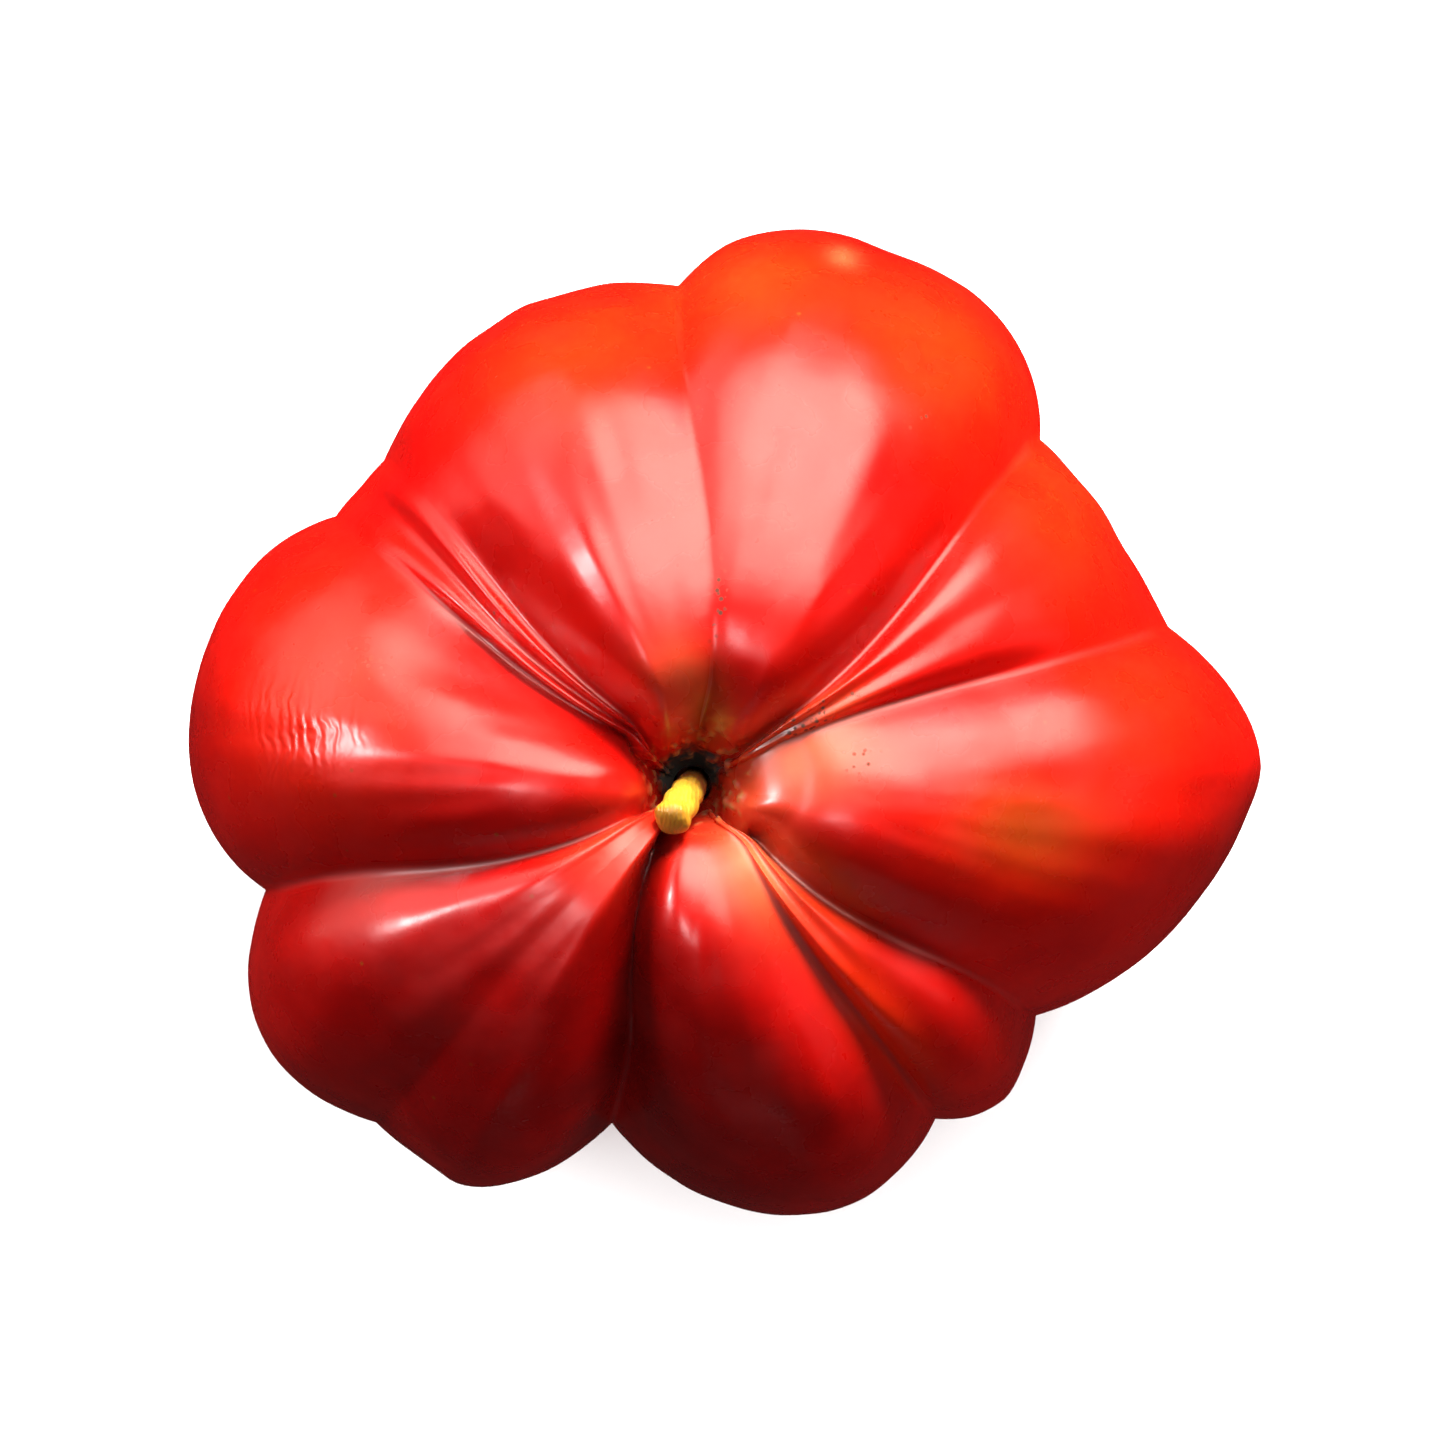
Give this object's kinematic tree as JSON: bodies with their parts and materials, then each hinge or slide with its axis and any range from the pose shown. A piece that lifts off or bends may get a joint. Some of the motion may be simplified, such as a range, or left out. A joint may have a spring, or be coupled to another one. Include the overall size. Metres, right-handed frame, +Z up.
{
  "type": "tomato-shaped candle",
  "caption": "Wax candle cast as a squat, deeply ribbed red tomato, with a short waxed wick leaning out of its stem well.",
  "frame": {"origin": "centre of the footprint's bounding box, on the flat spot that the candle rests on", "axes": "+Z up; +X along the longest extent, towards the lobe that reaches furthest from the stem well; +Y towards the pair of broad lobes"},
  "size_m": [0.0952, 0.0876, 0.057],
  "materials": {
    "red_wax": "glossy dyed wax, red with orange tints by the stem well and creases",
    "waxed_cotton": "braided cotton under a coat of bright yellow wax"
  },
  "bodies": {
    "root": {"wax_body": "red_wax", "wick": "waxed_cotton"}
  },
  "joints": []
}
